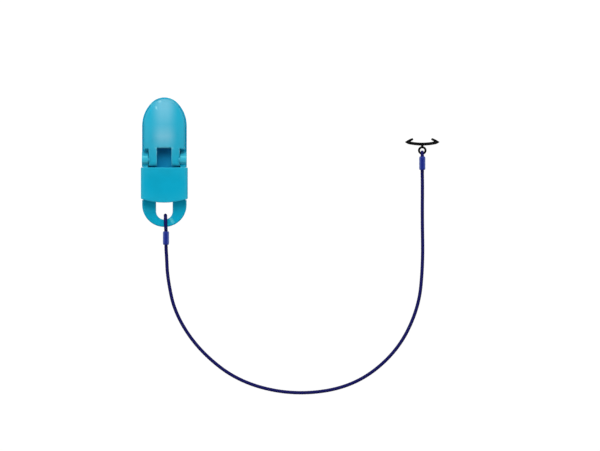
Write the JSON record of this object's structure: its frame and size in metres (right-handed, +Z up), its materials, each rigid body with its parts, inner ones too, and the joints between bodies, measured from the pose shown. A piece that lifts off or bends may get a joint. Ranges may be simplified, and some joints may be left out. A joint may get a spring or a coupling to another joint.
{
  "type": "garment clip with retention cord",
  "caption": "Toggle-lever plastic garment clip with a cord ring, a thin cord with crimped end loops, and a small barbed cross hook on its far end.",
  "frame": {"origin": "middle of the clip's footprint, on the surface that the clip lies on, the cord and its hook left out", "axes": "+Y along the clip to the tip of its jaws, +X to the right across it, +Z up through the lever"},
  "size_m": [0.1152, 0.1147, 0.0092],
  "materials": {
    "teal_plastic": "moulded polypropylene, satin gloss",
    "clear_teal_plastic": "moulded, glossy, slightly translucent",
    "blue_cord": "fine braided cord",
    "blue_sleeve": "shrunk tube, satin",
    "black_plastic": "moulded nylon, satin"
  },
  "bodies": {
    "clip": {"rear_jaw": "teal_plastic", "keeper_band": "teal_plastic", "cord": "blue_cord", "clip_end_sleeve": "blue_sleeve", "hook_end_sleeve": "blue_sleeve"},
    "front_jaw": {"front_jaw": "teal_plastic"},
    "lever": {"lever": "clear_teal_plastic"},
    "hook": {"cross_hook": "black_plastic"}
  },
  "joints": [
    {"name": "lever_hinge", "type": "hinge", "parent": "clip", "child": "lever", "pos_m": [0, 0.0009, 0.00712], "axis": [1, 0, 0], "range_deg": [0, 105]},
    {"name": "jaw_hinge", "type": "hinge", "parent": "clip", "child": "front_jaw", "pos_m": [0, -0.0031, 0.0033], "axis": [1, 0, 0], "range_deg": [0, 7.5]},
    {"name": "hook_swing", "type": "hinge", "parent": "clip", "child": "hook", "pos_m": [0.0995, 0.00335, 0.0018], "axis": [1, 0, 0], "range_deg": [0, 100]}
  ],
  "couplings": [
    {"joint": "jaw_hinge", "follows": "lever_hinge", "ratio": 0.0714}
  ]
}
